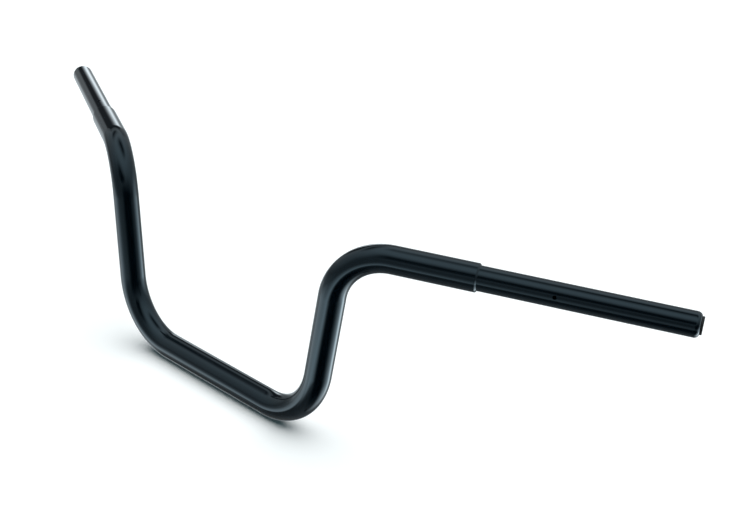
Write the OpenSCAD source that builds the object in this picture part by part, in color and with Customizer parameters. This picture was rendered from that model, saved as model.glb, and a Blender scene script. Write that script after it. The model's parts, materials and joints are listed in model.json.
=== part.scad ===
// Ape hanger handlebar: one bent steel tube whose ends are drawn down for the grips
// and hand controls, with a moulded plug pushed into each open end.
// Origin at the middle of the clamp seat. X runs across the bar, +Y is towards the
// rider and +Z is up. The left half mirrors the right one, apart from its locating hole.

/* [Tube] */
// Outside diameter of the main tube, which the riser clamps hold
main_od = 25.4; // [25:0.1:28.6]
// Wall thickness of the main tube
main_wall = 2.6; // [1.6:0.1:3.2]
// Outside diameter of the drawn-down ends, which grips and controls slide onto
grip_od = 22.2; // [21.5:0.1:23]
// Wall thickness of the drawn-down ends
grip_wall = 3.1; // [1.8:0.1:3.6]
// Length of the sloping shoulder between the two diameters
shoulder_len = 2.2; // [1.6:0.1:8]
// Radius that softens the shoulder's outer edge and its foot
shoulder_edge_r = 0.5; // [0.2:0.05:0.6]
// Radius that the open ends are turned to
end_round = 4.5; // [3:0.1:6]

/* [Bends] */
// Straight length between the lower bends, where the clamps grip the bar
clamp_len = 148; // [100:1:220]
// Radius of the lower bends, at the tube's centreline
lower_r = 65; // [50:1:75]
// Height of the upper corners above the clamp axis
rise = 185; // [150:1:400]
// Angle that each upright leans outwards, in degrees
splay = 8.2; // [0:0.1:15]
// Radius of the upper bends, at the tube's centreline
upper_r = 52; // [40:1:65]
// Angle that the hand sections sweep back towards the rider, in degrees
sweep = 27.5; // [10:0.5:40]
// Angle that the hand sections slope down towards their ends, in degrees
droop = 1.8; // [0:0.1:10]
// How much the tube's radius draws in round its bends
bend_draw = 0.03; // [0.03:0.01:0.1]
// Straight main tube between each upper bend and its shoulder
hand_len = 73.5; // [40:0.5:120]
// Length of each drawn-down end, from its shoulder's edge to its open end
grip_len = 187.5; // [180:0.5:230]

/* [Locating holes] */
// Diameter of the holes that the pegs of the hand controls drop into
peg_d = 3.5; // [2.5:0.1:6]
// Distance of the right hole from the tube's right end
right_peg_from_end = 119; // [90:1:170]
// Angle of the right hole upwards from straight ahead, in degrees
right_peg_turn = 9; // [-90:1:90]
// Distance of the left hole from the tube's left end
left_peg_from_end = 159; // [90:1:170]
// Angle of the left hole upwards from straight ahead, in degrees
left_peg_turn = 78; // [-90:1:90]

/* [End plugs] */
// Height that the plug's head stands out of the tube's end
plug_proud = 2; // [0.5:0.1:5]
// Depth of the plug inside the tube
plug_depth = 20; // [12:1:40]
// Wall thickness of the plug's hollow skirt
plug_wall = 1.8; // [1:0.1:2.5]
// Thickness of the plug's closed head
plug_head_t = 4; // [2.5:0.1:8]
// Radius on the edge of the plug's head
plug_edge_r = 0.3; // [0.1:0.05:0.4]
// Clearance round the plug in the tube's bore
plug_gap = 0.15; // [0.12:0.01:0.4]
// Height of the ribs that hold the plug in the bore
rib_h = 0.1; // [0.05:0.01:0.1]
// Width of each rib at its foot
rib_w = 1.6; // [0.8:0.1:2]
// Number of ribs on each plug
rib_count = 3; // [1:1:4]

/* [Hidden] */
$fn = 96;

// Steps that each small arc of a turned outline is drawn in
arc_steps = 8;
// Extra length by which a cutting solid passes the face that it cuts
cut_over = 1;
// Length over which each straight runs on into a bend, where it tapers down to the bend's size
lap = 1;

// Radius that a straight loses over its lap, which brings it just inside the bend
lap_draw = 2 * bend_draw;

main_r = main_od / 2;
grip_r = grip_od / 2;
main_bore_r = main_r - main_wall;
grip_bore_r = grip_r - grip_wall;

// Direction of an upright and of a hand section on the right half
upright_dir = [sin(splay), 0, cos(splay)];
hand_dir = [cos(sweep) * cos(droop), sin(sweep) * cos(droop), -sin(droop)];

// Angle of each bend, and the length that it takes from the corner along each leg
lower_turn = 90 - splay;
upper_turn = acos(upright_dir * hand_dir);
lower_leg = lower_r * tan(lower_turn / 2);
upper_leg = upper_r * tan(upper_turn / 2);

// Distance from each upper bend to the tube's end
hand_end = hand_len + grip_len;

// Straight left on each upright between its two bends
upright_len = rise / cos(splay) - lower_leg - upper_leg;

// Turn about the upright from the lower bend's plane to the upper bend's plane
upper_roll = 180 + atan2(
    sin(sweep) * cos(droop),
    cos(splay) * cos(sweep) * cos(droop) + sin(splay) * sin(droop)
);

// Directions square to the right hand section: level and straight ahead, and up
ahead_dir = [sin(sweep), -cos(sweep), 0];
over_dir = cross(ahead_dir, hand_dir);

// Turn about the hand section from the upper bend's plane to straight ahead
level_roll = atan2(-upright_dir * over_dir, -upright_dir * ahead_dir);

// Slope of the shoulder, and the length that its rounded edge takes along each leg
shoulder_fall = atan2(main_r - grip_r, shoulder_len);
shoulder_trim = shoulder_edge_r * tan(shoulder_fall / 2);

// Length of the rounding at the open end, up to the flat or the edge of the bore
end_round_len = sqrt(pow(end_round, 2) - pow(max(end_round - grip_wall, 0), 2));

// Plug's radii on its skirt, its ribs and its inside
plug_r = grip_bore_r - plug_gap;
rib_r = plug_r + rib_h;
plug_hollow_r = plug_r - plug_wall;
rib_pitch = (plug_depth - plug_head_t) / (rib_count + 0.5);

// Points of an arc about c, from angle a to angle b
function arc(c, r, a, b) = [
    for (i = [0 : arc_steps])
        let (t = a + (b - a) * i / arc_steps)
            c + r * [cos(t), sin(t)]
];

// Right half of what is drawn, and its mirror image
module both_sides() {
    children();
    mirror([1, 0, 0]) children();
}

// Carries what follows past a bend from Z towards X
module past_bend(bend_r, turn) {
    translate([bend_r, 0, 0]) rotate([0, turn, 0]) translate([-bend_r, 0, 0]) children();
}

// Each of these puts Z along the right half of the route, at the point that it names
module at_lower_bend() {
    translate([clamp_len / 2, 0, 0]) rotate([0, 90, 0]) rotate([0, 0, 180]) children();
}

module at_upright() {
    at_lower_bend() past_bend(lower_r, lower_turn) children();
}

module at_upper_bend() {
    at_upright() translate([0, 0, upright_len]) rotate([0, 0, upper_roll]) children();
}

module at_hand_section() {
    at_upper_bend() past_bend(upper_r, upper_turn) children();
}

// Round bar bent from Z towards X, drawn in by the bend
module bend(bend_r, turn, r) {
    translate([bend_r, 0, 0]) rotate([-90, 0, 0])
        rotate_extrude(angle = turn)
            translate([-bend_r, 0]) circle(r = r - bend_draw);
}

// Round bar from Z = 0 to Z = len, tapered where it laps into the bends at its ends
module straight(len, r) {
    rotate_extrude()
        polygon([
            [0, -lap],
            [r - lap_draw, -lap],
            [r, 0],
            [r, len],
            [r - lap_draw, len + lap],
            [0, len + lap]
        ]);
}

// The main tube as a solid bar, from one upper bend to the other
module main_bar(r) {
    translate([-clamp_len / 2, 0, 0]) rotate([0, 90, 0]) straight(clamp_len, r);
    both_sides() {
        at_lower_bend() bend(lower_r, lower_turn, r);
        at_upright() straight(upright_len, r);
        at_upper_bend() bend(upper_r, upper_turn, r);
    }
}

// Outside of a hand section: main tube, shoulder, parallel seat and rounded open end
module hand_outside() {
    edge = arc([main_r - shoulder_edge_r, hand_len - shoulder_trim], shoulder_edge_r, 0, shoulder_fall);
    foot = arc([grip_r + shoulder_edge_r, hand_len + shoulder_len + shoulder_trim], shoulder_edge_r,
               180 + shoulder_fall, 180);
    tip = arc([grip_r - end_round, hand_end - end_round_len], end_round, 0, asin(end_round_len / end_round));
    rotate_extrude()
        polygon(concat([[0, -lap], [main_r - lap_draw, -lap], [main_r, 0]], edge, foot, tip, [[0, hand_end]]));
}

// Inside of a hand section, which steps down with the shoulder and runs out of the end
module hand_inside() {
    rotate_extrude()
        polygon([
            [0, -lap],
            [main_bore_r - lap_draw, -lap],
            [main_bore_r, 0],
            [main_bore_r, hand_len],
            [grip_bore_r, hand_len + shoulder_len],
            [grip_bore_r, hand_end + cut_over],
            [0, hand_end + cut_over]
        ]);
}

// Drill for a locating hole through one wall of the right hand section
module peg_drill(from_end, turn_up) {
    at_hand_section()
        translate([0, 0, hand_end - from_end])
            rotate([0, 0, level_roll - turn_up]) rotate([0, 90, 0])
                cylinder(h = main_r + cut_over, d = peg_d);
}

module handlebar_tube() {
    color([0.05, 0.055, 0.06])
        difference() {
            union() {
                main_bar(main_r);
                both_sides() at_hand_section() hand_outside();
            }
            union() {
                main_bar(main_bore_r);
                both_sides() at_hand_section() hand_inside();
            }
            peg_drill(right_peg_from_end, right_peg_turn);
            mirror([1, 0, 0]) peg_drill(left_peg_from_end, left_peg_turn);
        }
}

module end_plug() {
    ribs = [
        for (i = [0 : rib_count - 1])
            let (foot = -plug_head_t - i * rib_pitch)
                each [[plug_r, foot], [rib_r, foot - rib_w / 2], [plug_r, foot - rib_w]]
    ];
    head = arc([plug_r - plug_edge_r, plug_proud - plug_edge_r], plug_edge_r, 90, 0);
    color([0.02, 0.02, 0.02])
        at_hand_section() translate([0, 0, hand_end])
            rotate_extrude()
                polygon(concat(
                    [[0, plug_proud]],
                    head,
                    ribs,
                    [
                        [plug_r, -plug_depth + plug_edge_r],
                        [plug_r - plug_edge_r, -plug_depth],
                        [plug_hollow_r, -plug_depth],
                        [plug_hollow_r, plug_proud - plug_head_t],
                        [0, plug_proud - plug_head_t]
                    ]
                ));
}

module right_end_plug() {
    end_plug();
}

module left_end_plug() {
    mirror([1, 0, 0]) end_plug();
}

handlebar_tube();
right_end_plug();
left_end_plug();
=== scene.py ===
import json
import math

import bmesh
import bpy
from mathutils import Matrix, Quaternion, Vector


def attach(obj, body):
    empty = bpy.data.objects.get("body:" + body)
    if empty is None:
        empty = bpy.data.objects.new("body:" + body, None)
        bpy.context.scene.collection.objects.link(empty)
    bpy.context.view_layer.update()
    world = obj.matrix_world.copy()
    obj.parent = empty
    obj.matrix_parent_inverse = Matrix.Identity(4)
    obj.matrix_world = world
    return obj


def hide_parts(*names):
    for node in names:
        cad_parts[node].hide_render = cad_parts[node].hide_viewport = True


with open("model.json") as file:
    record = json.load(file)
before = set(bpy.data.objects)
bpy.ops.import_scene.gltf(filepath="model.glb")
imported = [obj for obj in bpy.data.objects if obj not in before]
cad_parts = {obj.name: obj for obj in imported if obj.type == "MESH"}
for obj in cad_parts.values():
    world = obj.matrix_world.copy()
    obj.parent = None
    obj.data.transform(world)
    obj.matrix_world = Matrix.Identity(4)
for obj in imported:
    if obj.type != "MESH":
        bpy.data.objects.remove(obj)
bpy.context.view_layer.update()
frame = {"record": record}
mm = 0.001
scene = bpy.context.scene
mounts = {mount["name"]: mount for mount in frame["record"]["mounts"]}
print("frame loaded")

# The camera stands in front of the bar, to its right and above it, and leans a little
photoView = {
    "target": (0.198674, 0.0, 0.188915),
    "azimuth": 43.043,
    "elevation": 22.816,
    "roll": 4.2,
    "distance": 1.20295,
    "lens": 68.778,
    "sensor": 36.0,
    "shift": (-0.00067, 0.00067),
}


def makeCamera(view):
    azimuth = math.radians(view["azimuth"])
    elevation = math.radians(view["elevation"])
    back = Vector((
        math.sin(azimuth) * math.cos(elevation),
        -math.cos(azimuth) * math.cos(elevation),
        math.sin(elevation),
    ))
    data = bpy.data.cameras.new("photoCamera")
    data.lens = view["lens"]
    data.sensor_width = view["sensor"]
    data.shift_x, data.shift_y = view["shift"]
    camera = bpy.data.objects.new("photoCamera", data)
    scene.collection.objects.link(camera)
    camera.location = Vector(view["target"]) + back * view["distance"]
    camera.rotation_mode = "QUATERNION"
    lean = Quaternion((0, 0, 1), math.radians(view["roll"]))
    camera.rotation_quaternion = (-back).to_track_quat("-Z", "Y") @ lean
    scene.camera = camera


makeCamera(photoView)
scene.view_settings.view_transform = "Standard"
print("camera placed")


# Node helpers: a value is either another node's socket or a plain number, vector or colour
def addNode(tree, kind, settings=None, inputs=None):
    node = tree.nodes.new(kind)
    for name, value in (settings or {}).items():
        setattr(node, name, value)
    for name, value in (inputs or {}).items():
        feed(tree, node.inputs[name], value)
    return node


def feed(tree, socket, value):
    if isinstance(value, bpy.types.NodeSocket):
        tree.links.new(value, socket)
    else:
        socket.default_value = value


def maths(tree, operation, *values):
    kind = {"operation": operation}
    return addNode(tree, "ShaderNodeMath", kind, dict(enumerate(values))).outputs[0]


def vectorMaths(tree, operation, *values):
    kind = {"operation": operation}
    return addNode(tree, "ShaderNodeVectorMath", kind, dict(enumerate(values))).outputs[0]


def scaleVector(tree, vector, scale):
    inputs = {0: vector, "Scale": scale}
    return addNode(tree, "ShaderNodeVectorMath", {"operation": "SCALE"}, inputs).outputs[0]


# Both mixes run from the first value to the second, and their sockets go by number
def mixColours(tree, factor, first, second):
    inputs = {0: factor, 6: first, 7: second}
    return addNode(tree, "ShaderNodeMix", {"data_type": "RGBA"}, inputs).outputs[2]


def mixLevels(tree, factor, first, second):
    inputs = {0: factor, 2: first, 3: second}
    return addNode(tree, "ShaderNodeMix", {"data_type": "FLOAT"}, inputs).outputs[0]


def newGroup(name, kind, sockets):
    group = bpy.data.node_groups.new(name, kind)
    for direction, label, socketType in sockets:
        group.interface.new_socket(name=label, in_out=direction, socket_type=socketType)
    entry = group.nodes.new("NodeGroupInput")
    leave = group.nodes.new("NodeGroupOutput")
    return group, entry.outputs, leave.inputs


def placeGroup(tree, group, inputs):
    kind = tree.bl_idname.replace("Tree", "Group")
    return addNode(tree, kind, {"node_tree": group}, inputs).outputs


# Mask with soft edges over a rectangle of two running values, which may be headings in degrees
def makeSoftPanel():
    group, given, result = newGroup("softPanel", "ShaderNodeTree", [
        ("INPUT", "Across", "NodeSocketFloat"),
        ("INPUT", "Along", "NodeSocketFloat"),
        ("INPUT", "Middle Across", "NodeSocketFloat"),
        ("INPUT", "Middle Along", "NodeSocketFloat"),
        ("INPUT", "Half Width", "NodeSocketFloat"),
        ("INPUT", "Half Length", "NodeSocketFloat"),
        ("INPUT", "Blur", "NodeSocketFloat"),
        ("OUTPUT", "Mask", "NodeSocketFloat"),
    ])
    halfTurn = 180.0
    sides = []
    for place, middle, half in (("Across", "Middle Across", "Half Width"),
                                ("Along", "Middle Along", "Half Length")):
        off = maths(group, "SUBTRACT", given[place], given[middle])
        fade = addNode(group, "ShaderNodeMapRange", {"interpolation_type": "SMOOTHSTEP"}, {
            "Value": maths(group, "ABSOLUTE", maths(group, "WRAP", off, halfTurn, -halfTurn)),
            "From Min": maths(group, "SUBTRACT", given[half], given["Blur"]),
            "From Max": maths(group, "ADD", given[half], given["Blur"]),
            "To Min": 1.0,
            "To Max": 0.0,
        })
        sides.append(fade.outputs["Result"])
    feed(group, result["Mask"], maths(group, "MULTIPLY", *sides))
    return group


# A speck's soft edge lies between its core and its radius, which are shares of the speck size
grainShape = {
    "detail": 2.0,
    "cloudDetail": 3.0,
    "cloudScale": 0.04,
    "speckRadius": 0.05,
    "speckCore": 0.02,
}


# Fine unevenness of moulded and coated surfaces: a height, a slow cloud and a mask of specks
def makeFineGrain(shape):
    group, given, result = newGroup("fineGrain", "ShaderNodeTree", [
        ("INPUT", "Grain Size", "NodeSocketFloat"),
        ("INPUT", "Speck Size", "NodeSocketFloat"),
        ("INPUT", "Speck Share", "NodeSocketFloat"),
        ("OUTPUT", "Height", "NodeSocketFloat"),
        ("OUTPUT", "Cloud", "NodeSocketFloat"),
        ("OUTPUT", "Specks", "NodeSocketFloat"),
    ])
    place = addNode(group, "ShaderNodeTexCoord").outputs["Object"]
    grain = addNode(group, "ShaderNodeTexNoise", {}, {
        "Vector": place,
        "Scale": maths(group, "DIVIDE", 1.0, given["Grain Size"]),
        "Detail": shape["detail"],
    })
    cloud = addNode(group, "ShaderNodeTexNoise", {}, {
        "Vector": place,
        "Scale": maths(group, "DIVIDE", shape["cloudScale"], given["Grain Size"]),
        "Detail": shape["cloudDetail"],
    })
    cells = addNode(group, "ShaderNodeTexVoronoi", {"feature": "F1"}, {
        "Vector": place,
        "Scale": maths(group, "DIVIDE", 1.0, given["Speck Size"]),
    }).outputs
    draw = addNode(group, "ShaderNodeSeparateColor", {}, {"Color": cells["Color"]}).outputs["Red"]
    chosen = maths(group, "LESS_THAN", draw, given["Speck Share"])
    dots = addNode(group, "ShaderNodeMapRange", {"interpolation_type": "SMOOTHSTEP"}, {
        "Value": cells["Distance"],
        "From Min": shape["speckRadius"],
        "From Max": shape["speckCore"],
    }).outputs["Result"]
    feed(group, result["Height"], grain.outputs["Fac"])
    feed(group, result["Cloud"], cloud.outputs["Fac"])
    feed(group, result["Specks"], maths(group, "MULTIPLY", dots, chosen))
    return group


softPanel = makeSoftPanel()
fineGrain = makeFineGrain(grainShape)


def newMaterial(name):
    material = bpy.data.materials.new(name)
    material.use_nodes = True
    tree = material.node_tree
    tree.nodes.clear()
    return material, tree, addNode(tree, "ShaderNodeOutputMaterial")


# Roughness that drifts with the grain's cloud, evenly about its middle
def driftingRoughness(tree, cloud, middle, spread):
    return maths(tree, "MULTIPLY_ADD", cloud, spread, middle - spread / 2)


def bumpNormal(tree, height, depth):
    return addNode(tree, "ShaderNodeBump", {}, {
        "Strength": 1.0,
        "Distance": depth,
        "Height": height,
    }).outputs["Normal"]


glossPaint = {
    "darkest": (0.0003, 0.0016, 0.0032, 1.0),
    "lightest": (0.0010, 0.0028, 0.0046, 1.0),
    "speck": (0.010, 0.014, 0.016, 1.0),
    "roughness": 0.04,
    "roughnessSpread": 0.02,
    "speckRoughness": 0.25,
    "ior": 1.55,
    "reflectionTint": (0.63, 0.87, 1.0, 1.0),
    "peelSize": 2.2 * mm,
    "peelDepth": 0.0035 * mm,
    "speckSize": 6.0 * mm,
    "speckShare": 0.12,
}


def makeGlossPaint(look):
    material, tree, output = newMaterial("glossBlackPaint")
    grain = placeGroup(tree, fineGrain, {
        "Grain Size": look["peelSize"],
        "Speck Size": look["speckSize"],
        "Speck Share": look["speckShare"],
    })
    ground = mixColours(tree, grain["Cloud"], look["darkest"], look["lightest"])
    sheen = driftingRoughness(tree, grain["Cloud"], look["roughness"], look["roughnessSpread"])
    paint = addNode(tree, "ShaderNodeBsdfPrincipled", {}, {
        "Base Color": mixColours(tree, grain["Specks"], ground, look["speck"]),
        "Roughness": maths(tree, "MULTIPLY_ADD", grain["Specks"], look["speckRoughness"], sheen),
        "IOR": look["ior"],
        "Specular Tint": look["reflectionTint"],
        "Normal": bumpNormal(tree, grain["Height"], look["peelDepth"]),
    })
    feed(tree, output.inputs["Surface"], paint.outputs["BSDF"])
    return material


mattPlastic = {
    "darkest": (0.0016, 0.0028, 0.0036, 1.0),
    "lightest": (0.0042, 0.0056, 0.0068, 1.0),
    "roughness": 0.52,
    "roughnessSpread": 0.12,
    "ior": 1.48,
    "grainSize": 0.35 * mm,
    "grainDepth": 0.02 * mm,
}


def makeMattPlastic(look):
    material, tree, output = newMaterial("mattBlackPlastic")
    grain = placeGroup(tree, fineGrain, {"Grain Size": look["grainSize"]})
    plastic = addNode(tree, "ShaderNodeBsdfPrincipled", {}, {
        "Base Color": mixColours(tree, grain["Cloud"], look["darkest"], look["lightest"]),
        "Roughness": driftingRoughness(
            tree, grain["Cloud"], look["roughness"], look["roughnessSpread"]),
        "IOR": look["ior"],
        "Normal": bumpNormal(tree, grain["Height"], look["grainDepth"]),
    })
    feed(tree, output.inputs["Surface"], plastic.outputs["BSDF"])
    return material


glossBlackPaint = makeGlossPaint(glossPaint)
mattBlackPlastic = makeMattPlastic(mattPlastic)
print("materials made")

clampSeat = mounts["clamp_seat"]["dims"]
gripSeat = mounts["right_grip_seat"]["dims"]
# Margins are distances from an edge, where extra rows of vertices keep its smooth shading local
tube = {
    "mainRadius": clampSeat["r_mm"] * mm,
    "gripRadius": gripSeat["r_mm"] * mm,
    "mainWall": 2.6 * mm,
    "gripWall": 3.1 * mm,
    "clampLength": clampSeat["length_mm"] * mm,
    "seatLength": gripSeat["length_mm"] * mm,
    "lowerBend": 65.0 * mm,
    "upperBend": 52.0 * mm,
    "splay": math.radians(8.2),
    "shoulderLength": 1.4 * mm,
    "edgeRadius": 0.4 * mm,
    "edgeSteps": 8,
    "endRound": 4.5 * mm,
    "endRoundSteps": 14,
    "mouthBevel": 0.15 * mm,
    "segments": 128,
    "outerBendStep": math.radians(1.25),
    "innerBendStep": math.radians(5.0),
    "bendMargin": 0.6 * mm,
    "edgeMargins": (0.3 * mm, 1.5 * mm, 6.0 * mm),
    "mouthMargins": (0.2 * mm, 0.6 * mm, 3.0 * mm),
    "routeSteps": 120,
    "sharpAngle": math.radians(50),
}
# A hole lies in a square gap of the blank's grid, closed by rings that crowd towards its rim
pegHole = {
    "halfCells": 8,
    "rowGap": 0.5 * mm,
    "rimRound": 0.15 * mm,
    "rimSteps": 5,
    "patchRings": 5,
    "patchEase": 1.5,
}


# Works out the route's corners and the length and turn of each stretch on the right half
def planRoute(size):
    mount = mounts["right_grip_seat"]
    seatMiddle = Vector(mount["pos_m"])
    handWay = Vector(mount["axis"]).normalized()
    upperCorner = seatMiddle - handWay * (seatMiddle.y / handWay.y)
    uprightWay = Vector((math.sin(size["splay"]), 0, math.cos(size["splay"])))
    lowerCorner = upperCorner - uprightWay * (upperCorner.z / uprightWay.z)
    lowerTurn = math.pi / 2 - size["splay"]
    upperTurn = uprightWay.angle(handWay)
    lowerLeg = size["lowerBend"] * math.tan(lowerTurn / 2)
    upperLeg = size["upperBend"] * math.tan(upperTurn / 2)
    endRun = math.sqrt(size["endRound"] ** 2 - (size["endRound"] - size["gripWall"]) ** 2)
    tubeEnd = seatMiddle + handWay * (size["seatLength"] / 2 + endRun)
    stretches = {
        "clamp": (size["clampLength"] / 2, 0.0),
        "lowerBend": (size["lowerBend"] * lowerTurn, lowerTurn),
        "upright": ((upperCorner - lowerCorner).length - lowerLeg - upperLeg, 0.0),
        "upperBend": (size["upperBend"] * upperTurn, upperTurn),
        "hand": ((tubeEnd - upperCorner).length - upperLeg, 0.0),
    }
    return {
        "lowerCorner": lowerCorner,
        "upperCorner": upperCorner,
        "tubeEnd": tubeEnd,
        "handWay": handWay,
        "endRun": endRun,
        "stretches": stretches.values(),
        "half": sum(length for length, _ in stretches.values()),
    }


# A place or direction of the right half, carried to side 1, the right, or side -1, the left
def onSide(side, vector):
    return Vector((side * vector.x, vector.y, vector.z))


# Where a locating hole lies: distance along the bar, and angle up from straight ahead
def placeHole(route, name):
    mount = mounts[name]
    way = Vector(mount["axis"])
    side = 1 if mount["pos_m"][0] > 0 else -1
    handWay = onSide(side, route["handWay"])
    fromEnd = (onSide(side, route["tubeEnd"]) - Vector(mount["pos_m"])).dot(handWay)
    forward = Vector((side * handWay.y, -side * handWay.x, 0)).normalized()
    upward = forward.cross(side * handWay)
    return {
        "side": side,
        "along": side * (route["half"] - fromEnd),
        "angle": math.atan2(way.dot(upward), way.dot(forward)),
        "radius": mount["dims"]["r_mm"] * mm,
    }


# Distances from the middle of the bar at which the blank needs rows of vertices for its bends
def bendRows(size, route, stepAngle):
    rows = [0.0]
    start = 0.0
    for length, turn in route["stretches"]:
        if turn:
            steps = max(1, round(turn / stepAngle))
            rows += [start + length * i / steps for i in range(steps + 1)]
            rows += [start - size["bendMargin"], start + length + size["bendMargin"]]
        start += length
    return rows


def holeRows(hole):
    cells = pegHole["halfCells"]
    return [abs(hole["along"]) + i * pegHole["rowGap"] for i in range(-cells, cells + 1)]


# Arc of an outline: angle 0 points away from the axis, and a quarter turn towards the tube's end
def arcPoints(centre, radius, fromAngle, toAngle, steps):
    angles = [fromAngle + (toAngle - fromAngle) * i / steps for i in range(steps + 1)]
    return [
        (centre[0] + radius * math.sin(angle), centre[1] + radius * math.cos(angle))
        for angle in angles
    ]


def planShoulder(size, route):
    fall = math.atan2(size["mainRadius"] - size["gripRadius"], size["shoulderLength"])
    trim = size["edgeRadius"] * math.tan(fall / 2)
    seatStart = route["half"] - route["endRun"] - size["seatLength"]
    start = seatStart - trim - size["shoulderLength"]
    return {"fall": fall, "trim": trim, "start": start, "seatStart": seatStart}


# Half outlines of the blank, as distance from the middle and radius
def outsideOutline(size, route, holes):
    shoulder = planShoulder(size, route)
    main, grip = size["mainRadius"], size["gripRadius"]
    soft, tip = size["edgeRadius"], size["endRound"]
    fall, steps, margins = shoulder["fall"], size["edgeSteps"], size["edgeMargins"]
    mainEnd = shoulder["start"] - shoulder["trim"]
    seatStart = shoulder["seatStart"]
    seatEnd = route["half"] - route["endRun"]
    mouthAngle = math.asin(route["endRun"] / tip) - size["mouthBevel"] / tip
    points = [(x, main) for x in bendRows(size, route, size["outerBendStep"])]
    points += [(mainEnd - gap, main) for gap in margins]
    points += arcPoints((mainEnd, main - soft), soft, 0, fall, steps)
    points += arcPoints((seatStart, grip + soft), -soft, fall, 0, steps)
    points += [(seatStart + gap, grip) for gap in margins]
    points += [(x, grip) for hole in holes for x in holeRows(hole)]
    points += [(seatEnd - gap, grip) for gap in margins]
    points += arcPoints((seatEnd, grip - tip), tip, 0, mouthAngle, size["endRoundSteps"])
    return sorted(set(points))


def insideOutline(size, route, holes):
    shoulder = planShoulder(size, route)["start"]
    main = size["mainRadius"] - size["mainWall"]
    grip = size["gripRadius"] - size["gripWall"]
    points = [(x, main) for x in bendRows(size, route, size["innerBendStep"])]
    points += [(shoulder, main), (shoulder + size["shoulderLength"], grip)]
    points += [(x, grip) for hole in holes for x in holeRows(hole)]
    points += [(route["half"] - gap, grip) for gap in size["mouthMargins"]]
    return sorted(set(points))


# Closed outline of the blank, from left to right outside and back again inside, as distance,
# radius, and whether the point lies outside
def blankOutline(size, route, holes):
    left = [hole for hole in holes if hole["side"] < 0]
    right = [hole for hole in holes if hole["side"] > 0]
    outline = [(-x, r, True) for x, r in reversed(outsideOutline(size, route, left)[1:])]
    outline += [(x, r, True) for x, r in outsideOutline(size, route, right)]
    outline += [(x, r, False) for x, r in reversed(insideOutline(size, route, right))]
    outline += [(-x, r, False) for x, r in insideOutline(size, route, left)[1:]]
    return outline


# A vertex of the blank, which lies along X with straight ahead at angle 0 and up at a quarter turn
def blankPoint(x, radius, angle):
    return Vector((x, -radius * math.cos(angle), radius * math.sin(angle)))


# Row and column of the grid at the middle of the gap that a hole needs in one wall
def gapMiddle(outline, hole, outer, turn):
    rows = [i for i, (_, _, isOuter) in enumerate(outline) if isOuter == outer]
    row = min(rows, key=lambda i: abs(outline[i][0] - hole["along"]))
    return row, round(hole["angle"] / turn)


def buildBlank(size, route):
    holes = [placeHole(route, "right_peg_hole"), placeHole(route, "left_peg_hole")]
    outline = blankOutline(size, route, holes)
    rows = len(outline)
    count = size["segments"]
    turn = 2 * math.pi / count
    middles = {
        (hole["side"], outer): gapMiddle(outline, hole, outer, turn)
        for hole in holes for outer in (True, False)
    }
    cells = range(-pegHole["halfCells"], pegHole["halfCells"])
    gaps = {
        ((row + i) % rows, (column + j) % count)
        for row, column in middles.values() for i in cells for j in cells
    }
    mesh = bmesh.new()
    rings = [
        [mesh.verts.new(blankPoint(x, r, turn * j)) for j in range(count)]
        for x, r, _ in outline
    ]
    for i in range(rows):
        near, far = rings[i], rings[(i + 1) % rows]
        for j in range(count):
            if (i, j) not in gaps:
                k = (j + 1) % count
                mesh.faces.new((near[j], far[j], far[k], near[k]))
    for hole in holes:
        rims = [
            closeGap(mesh, size, hole, outer, rings, middles[(hole["side"], outer)])
            for outer in (True, False)
        ]
        joinRing(mesh, *(sorted(rim, key=lambda vert: ringAngle(vert, hole)) for rim in rims))
    return finishMesh(mesh, "handlebarBlank")


# Closes a gap in one wall with rings that run from its square edge to the hole's round rim
def closeGap(mesh, size, hole, outer, rings, middle):
    row, column = middle
    radius = size["gripRadius"] if outer else size["gripRadius"] - size["gripWall"]
    rim = hole["radius"] + (pegHole["rimRound"] if outer else 0)
    edge = squareEdge(pegHole["halfCells"])
    ring = [rings[row + i][(column + j) % size["segments"]] for i, j in edge]
    spots = []
    for vert in ring:
        angle = math.atan2(vert.co.z, -vert.co.y) - hole["angle"]
        spots.append((vert.co.x - hole["along"], radius * math.sin(angle)))
    for step in range(1, pegHole["patchRings"] + 1):
        share = 1 - (1 - step / pegHole["patchRings"]) ** pegHole["patchEase"]
        ring = addRing(mesh, ring, [
            wallPoint(hole, radius, spot, 1 + (rim / math.hypot(*spot) - 1) * share, 0)
            for spot in spots
        ])
    if outer:
        for step in range(1, pegHole["rimSteps"] + 1):
            part = math.pi / 2 * step / pegHole["rimSteps"]
            reach = hole["radius"] + pegHole["rimRound"] * (1 - math.sin(part))
            depth = pegHole["rimRound"] * (1 - math.cos(part))
            ring = addRing(mesh, ring, [
                wallPoint(hole, radius, spot, reach / math.hypot(*spot), depth)
                for spot in spots
            ])
    return ring


# Cells round the edge of a square gap, as steps from its middle
def squareEdge(half):
    run = range(-half, half)
    edge = [(i, -half) for i in run]
    edge += [(half, j) for j in run]
    edge += [(-i, half) for i in run]
    edge += [(-half, -j) for j in run]
    return edge


# Point on a round wall of the tube: a spot's offsets from the hole's own line, scaled
def wallPoint(hole, radius, spot, scale, depth):
    along, across = spot[0] * scale, spot[1] * scale
    height = math.sqrt(radius ** 2 - across ** 2) - depth
    reach = math.hypot(height, across)
    return blankPoint(hole["along"] + along, reach, hole["angle"] + math.atan2(across, height))


def ringAngle(vert, hole):
    across = Vector((0, math.sin(hole["angle"]), math.cos(hole["angle"])))
    return math.atan2(vert.co.dot(across), vert.co.x - hole["along"])


def addRing(mesh, ring, points):
    return joinRing(mesh, ring, [mesh.verts.new(point) for point in points])


def joinRing(mesh, first, second):
    count = len(first)
    for i in range(count):
        k = (i + 1) % count
        mesh.faces.new((first[i], first[k], second[k], second[i]))
    return second


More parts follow.
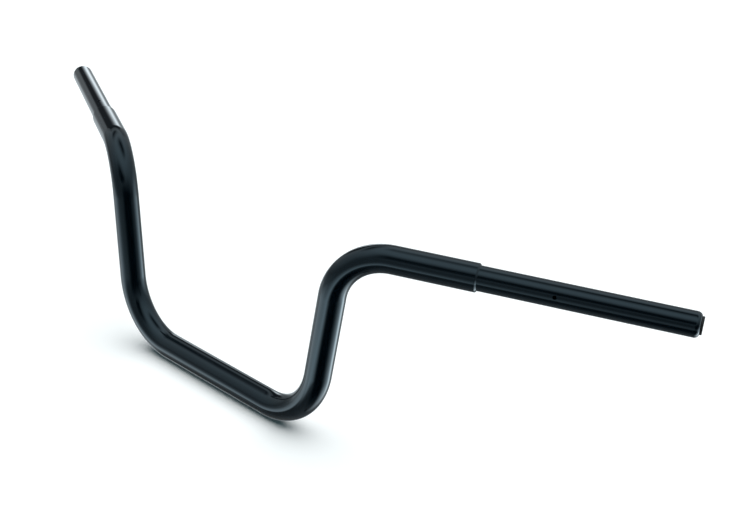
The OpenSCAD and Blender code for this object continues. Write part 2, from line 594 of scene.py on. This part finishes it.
# Turns the faces outwards and keeps them as a plain mesh
def finishMesh(mesh, name):
    bmesh.ops.recalc_face_normals(mesh, faces=mesh.faces)
    data = bpy.data.meshes.new(name)
    mesh.to_mesh(data)
    mesh.free()
    return data


# Geometry Nodes: bends a straight blank round the bar's corners
def makeTubeBender():
    group, given, result = newGroup("tubeBender", "GeometryNodeTree", [
        ("INPUT", "Blank", "NodeSocketGeometry"),
        ("INPUT", "Lower Corner", "NodeSocketVector"),
        ("INPUT", "Upper Corner", "NodeSocketVector"),
        ("INPUT", "Tube End", "NodeSocketVector"),
        ("INPUT", "Lower Bend Radius", "NodeSocketFloat"),
        ("INPUT", "Upper Bend Radius", "NodeSocketFloat"),
        ("INPUT", "Bend Steps", "NodeSocketInt"),
        ("INPUT", "Finish", "NodeSocketMaterial"),
        ("OUTPUT", "Bent Tube", "NodeSocketGeometry"),
    ])
    mirrored = [vectorMaths(group, "MULTIPLY", given[name], (-1, 1, 1))
                for name in ("Tube End", "Upper Corner", "Lower Corner")]
    corners = mirrored + [given["Lower Corner"], given["Upper Corner"], given["Tube End"]]
    radii = [0.0, given["Upper Bend Radius"], given["Lower Bend Radius"],
             given["Lower Bend Radius"], given["Upper Bend Radius"], 0.0]
    index = addNode(group, "GeometryNodeInputIndex").outputs[0]
    chain = addNode(group, "GeometryNodeMeshLine", {}, {"Count": len(corners)})
    line = addNode(group, "GeometryNodeMeshToCurve", {}, {"Mesh": chain.outputs[0]})
    placed = addNode(group, "GeometryNodeSetPosition", {}, {
        "Geometry": line.outputs[0],
        "Position": pickByIndex(group, "VECTOR", index, corners),
    })
    bent = addNode(group, "GeometryNodeFilletCurve", {"mode": "POLY"}, {
        "Curve": placed.outputs[0],
        "Count": given["Bend Steps"],
        "Radius": pickByIndex(group, "FLOAT", index, radii),
    })
    route = addNode(group, "GeometryNodeSetCurveNormal", {"mode": "Z_UP"}, {
        "Curve": bent.outputs[0],
    }).outputs[0]
    # The blank's X starts at the bar's middle, and a curve's length at its left end
    length = addNode(group, "GeometryNodeCurveLength", {}, {"Curve": route}).outputs[0]
    position = addNode(group, "GeometryNodeInputPosition").outputs[0]
    spot = addNode(group, "ShaderNodeSeparateXYZ", {}, {0: position}).outputs
    at = addNode(group, "GeometryNodeSampleCurve", {"mode": "LENGTH"}, {
        "Curves": route,
        "Length": maths(group, "MULTIPLY_ADD", length, 0.5, spot["X"]),
    }).outputs
    up = vectorMaths(group, "CROSS_PRODUCT", at["Normal"], at["Tangent"])
    ahead = scaleVector(group, at["Normal"], maths(group, "MULTIPLY", spot["Y"], -1.0))
    above = scaleVector(group, up, spot["Z"])
    around = vectorMaths(group, "ADD", ahead, above)
    shaped = addNode(group, "GeometryNodeSetPosition", {}, {
        "Geometry": given["Blank"],
        "Position": vectorMaths(group, "ADD", at["Position"], around),
    })
    real = addNode(group, "GeometryNodeRealizeInstances", {}, {"Geometry": shaped.outputs[0]})
    painted = addNode(group, "GeometryNodeSetMaterial", {}, {
        "Geometry": real.outputs[0], "Material": given["Finish"]})
    feed(group, result["Bent Tube"], painted.outputs[0])
    return group


def pickByIndex(group, kind, index, values):
    switch = addNode(group, "GeometryNodeIndexSwitch", {"data_type": kind})
    while len(switch.index_switch_items) < len(values):
        switch.index_switch_items.new()
    feed(group, switch.inputs["Index"], index)
    for number, value in enumerate(values, 1):
        feed(group, switch.inputs[number], value)
    return switch.outputs[0]


# Runs a node tree on a mesh and returns the result as a plain mesh
def bakeNodes(data, group, values):
    carrier = bpy.data.objects.new("carrier", data)
    scene.collection.objects.link(carrier)
    modifier = carrier.modifiers.new("nodes", "NODES")
    modifier.node_group = group
    for item in group.interface.items_tree:
        if item.item_type == "SOCKET" and item.in_out == "INPUT" and item.name in values:
            modifier[item.identifier] = values[item.name]
    graph = bpy.context.evaluated_depsgraph_get()
    baked = bpy.data.meshes.new_from_object(carrier.evaluated_get(graph))
    carrier.modifiers.remove(modifier)
    bpy.data.objects.remove(carrier)
    return baked


def makePiece(name, data, node, sharpAngle):
    data.name = name
    data.shade_smooth()
    data.set_sharp_from_angle(angle=sharpAngle)
    piece = bpy.data.objects.new(name, data)
    scene.collection.objects.link(piece)
    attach(piece, "root")
    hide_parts(node)


route = planRoute(tube)
blank = buildBlank(tube, route)
print("straight blank turned:", len(blank.polygons), "faces")
bentTube = bakeNodes(blank, makeTubeBender(), {
    "Lower Corner": route["lowerCorner"],
    "Upper Corner": route["upperCorner"],
    "Tube End": route["tubeEnd"],
    "Lower Bend Radius": tube["lowerBend"],
    "Upper Bend Radius": tube["upperBend"],
    "Bend Steps": tube["routeSteps"],
    "Finish": glossBlackPaint,
})
makePiece("bentTube", bentTube, "handlebar_tube", tube["sharpAngle"])
print("tube bent")

plug = {
    "radius": 7.85 * mm,
    "proud": 2.0 * mm,
    "edge": 0.3 * mm,
    "edgeSteps": 6,
    "crown": 0.06 * mm,
    "crownRings": 6,
    "dimpleRadius": 1.1 * mm,
    "dimpleDepth": 0.18 * mm,
    "dimpleRings": 4,
    "mouthMargin": 0.4 * mm,
    "depth": 20.0 * mm,
    "skirtWall": 1.8 * mm,
    "skirtEdgeSteps": 4,
    "headThickness": 4.0 * mm,
    "ribs": 3,
    "ribHeight": 0.1 * mm,
    "ribWidth": 1.6 * mm,
    "ribProfile": ((0, 0), (0.35, 0.8), (0.5, 1), (0.65, 0.8), (1, 0)),  # width, height shares
    "segments": 96,
    "sharpAngle": math.radians(35),
}


# Outline of the plug from the middle of its head, round its skirt, to the middle of its hollow
def plugOutline(size):
    radius, edge, proud = size["radius"], size["edge"], size["proud"]
    dimple = size["dimpleRadius"]
    face = radius - edge
    points = []
    for i in range(size["dimpleRings"]):
        r = dimple * i / size["dimpleRings"]
        points.append((proud - size["dimpleDepth"] * (1 - (r / dimple) ** 2), r))
    for i in range(size["crownRings"] + 1):
        r = dimple + (face - dimple) * i / size["crownRings"]
        points.append((proud - size["crown"] * (1 - math.cos(math.pi / 2 * r / face)), r))
    top = points[-1][0]
    points += arcPoints((top - edge, face), edge, math.pi / 2, 0, size["edgeSteps"])[1:]
    points += [(size["mouthMargin"], radius), (-size["mouthMargin"], radius)]
    # Half a pitch stays free beyond the last rib
    pitch = (size["depth"] - size["headThickness"]) / (size["ribs"] + 0.5)
    for i in range(size["ribs"]):
        foot = -size["headThickness"] - i * pitch
        for back, height in size["ribProfile"]:
            points.append((foot - back * size["ribWidth"], radius + height * size["ribHeight"]))
    skirtEnd = -size["depth"]
    hollow = radius - size["skirtWall"]
    roof = proud - size["headThickness"]
    points += arcPoints((skirtEnd + edge, face), edge, 0, -math.pi / 2, size["skirtEdgeSteps"])
    points += [(skirtEnd, hollow), (roof, hollow), (roof, 0.0)]
    return points


def buildPlug(size, route, side):
    way = onSide(side, route["handWay"])
    end = onSide(side, route["tubeEnd"])
    forward = Vector((way.y, -way.x, 0)).normalized()
    upward = forward.cross(way)
    count = size["segments"]
    mesh = bmesh.new()
    rings = []
    for x, r in plugOutline(size):
        ring = []
        for j in range(count if r else 1):
            angle = 2 * math.pi * j / count
            spoke = forward * math.cos(angle) + upward * math.sin(angle)
            ring.append(mesh.verts.new(end + way * x + spoke * r))
        rings.append(ring)
    # A ring on the axis is one vertex, which the faces beside it share as triangles
    for first, second in zip(rings, rings[1:]):
        for j in range(count):
            k = (j + 1) % count
            corners = [first[j % len(first)], first[k % len(first)],
                       second[k % len(second)], second[j % len(second)]]
            mesh.faces.new(list(dict.fromkeys(corners)))
    data = finishMesh(mesh, "plug")
    data.materials.append(mattBlackPlastic)
    return data


for sideName, side in (("right", 1), ("left", -1)):
    makePiece(sideName + "Plug", buildPlug(plug, route, side), sideName + "_end_plug",
              plug["sharpAngle"])
print("plugs moulded")

floorSize = {
    "half": 6.0,
    "level": -tube["mainRadius"],
    "white": (1.1, 1.1, 1.1, 1.0),
}


# The paint mirrors the studio in the place of the floor
def makeFloor(size):
    half = size["half"]
    data = bpy.data.meshes.new("studioFloor")
    corners = [(-half, -half), (half, -half), (half, half), (-half, half)]
    data.from_pydata([(x, y, size["level"]) for x, y in corners], [], [(0, 1, 2, 3)])
    material, tree, output = newMaterial("paleFloor")
    white = addNode(tree, "ShaderNodeBsdfDiffuse", {}, {"Color": size["white"]})
    feed(tree, output.inputs["Surface"], white.outputs[0])
    data.materials.append(material)
    floor = bpy.data.objects.new("studioFloor", data)
    scene.collection.objects.link(floor)
    floor.visible_glossy = False


# What the paint mirrors: the backdrop's brightness by height, and the panels set before it.
# Their places and levels were fitted to the streaks in the photo with a separate program, then
# rounded, and a few were moved by hand. The panels' names are only labels.
studio = {
    "page": {"tint": (1.0, 1.0, 1.0, 1.0), "strength": 1.0},  # seen by the camera
    "fill": {"tint": (0.5, 1.0, 1.1, 1.0), "strength": 0.11},  # lights matt surfaces and floor
    "mirrorTint": (0.91, 1.0, 1.05, 1.0),
    "backdrop": [  # height in degrees, brightness
        (-90, 0.25), (-60, 0.2), (-45, 0.15), (-37, 0.45), (-31, 2.7), (-26, 1.85), (-20, 1.4),
        (-12, 0.5), (0, 0.25), (12, 0.45), (24, 0.55), (40, 0.75), (60, 1.05), (90, 1.15),
    ],
    "leastRise": 0.05,  # the least z that a ceiling slope is divided by
    "ceiling": {  # middle, half size and blur in slopes x / z and y / z, then brightness
        "middleBoard": (0.02, 0.21, 0.37, 0.21, 0.27, 0),
        "leftBoard": (-0.95, 0.2, 0.19, 0.4, 0.3, 0),
        "frontBoard": (0.75, -1.92, 0.84, 1, 0.51, 0.01),
    },
    "walls": {  # heading and height in degrees, half sizes, blur, brightness
        "rearTable": (-9, -18.5, 40.5, 29.5, 1, 0.45),
        "rearCurtain": (-54, 17.5, 31.5, 18, 4, 0.35),
        "rightWall": (117, -5, 39, 26.5, 23.5, 0),
        "darkCloth": (129, -46.5, 38.5, 24, 17, 0),
        "rearWindow": (35, -21.5, 17, 29.5, 15, 1.7),
        "windowPane": (27, -35.5, 11, 19, 11, 8),
        "paneOnTable": (39, -54, 26.5, 19, 25, 2.6),
        "lampHood": (-59.5, 19, 19, 10, 2.5, 0.05),
        "leftLamp": (-50.5, 8.5, 7.5, 4, 6, 3.1),
        "leftTable": (-74, -25.5, 37.5, 15.5, 2, 0.8),
        "frontLeg": (-134.5, -54.5, 10, 24, 5, 0.15),
        "frontWall": (-174.5, 3, 24, 24, 16.5, 0.25),
    },
}


def makeStudio(light):
    world = bpy.data.worlds.new("softStudio")
    scene.world = world
    world.use_nodes = True
    tree = world.node_tree
    tree.nodes.clear()
    output = addNode(tree, "ShaderNodeOutputWorld")
    outwards = addNode(tree, "ShaderNodeTexCoord").outputs["Generated"]
    way = addNode(tree, "ShaderNodeSeparateXYZ", {}, {0: outwards}).outputs
    rise = maths(tree, "MAXIMUM", way["Z"], light["leastRise"])
    acrossSlope = maths(tree, "DIVIDE", way["X"], rise)
    alongSlope = maths(tree, "DIVIDE", way["Y"], rise)
    heading = maths(tree, "DEGREES", maths(tree, "ARCTAN2", way["X"], way["Y"]))
    height = maths(tree, "DEGREES", maths(tree, "ARCSINE", way["Z"]))
    level = backdropLevel(tree, height, light["backdrop"])
    panels = [(acrossSlope, alongSlope, row) for row in light["ceiling"].values()]
    panels += [(heading, height, row) for row in light["walls"].values()]
    for across, along, (x, y, halfWidth, halfLength, blur, brightness) in panels:
        mask = placeGroup(tree, softPanel, {
            "Across": across, "Along": along, "Middle Across": x, "Middle Along": y,
            "Half Width": halfWidth, "Half Length": halfLength, "Blur": blur})["Mask"]
        level = mixLevels(tree, mask, level, brightness)
    rays = addNode(tree, "ShaderNodeLightPath").outputs
    page, fill = light["page"], light["fill"]
    mirrored = addNode(tree, "ShaderNodeBackground", {}, {
        "Color": light["mirrorTint"], "Strength": level})
    plain = addNode(tree, "ShaderNodeBackground", {}, {
        "Color": mixColours(tree, rays["Is Camera Ray"], fill["tint"], page["tint"]),
        "Strength": mixLevels(tree, rays["Is Camera Ray"], fill["strength"], page["strength"]),
    })
    mixed = addNode(tree, "ShaderNodeMixShader", {}, {
        0: rays["Is Glossy Ray"], 1: plain.outputs[0], 2: mirrored.outputs[0]})
    feed(tree, output.inputs["Surface"], mixed.outputs[0])


# Brightness that runs straight from one given height to the next
def backdropLevel(tree, height, stops):
    level = stops[0][1]
    for (low, dim), (high, bright) in zip(stops, stops[1:]):
        step = addNode(tree, "ShaderNodeMapRange", {}, {
            "Value": height, "From Min": low, "From Max": high,
            "To Min": 0.0, "To Max": bright - dim}).outputs[0]
        level = maths(tree, "ADD", level, step)
    return level


# One large soft box overhead, a little behind the bar, which the paint doesn't mirror
softBox = {
    "strength": 3.24,
    "spread": math.radians(100),
    "lean": math.radians(14),
}


def makeSoftBox(lamp):
    data = bpy.data.lights.new("softBox", "SUN")
    data.energy = lamp["strength"]
    data.angle = lamp["spread"]
    light = bpy.data.objects.new("softBox", data)
    scene.collection.objects.link(light)
    light.rotation_euler = (-lamp["lean"], 0, 0)
    light.visible_glossy = False


makeFloor(floorSize)
makeSoftBox(softBox)
makeStudio(studio)
print("studio lit")
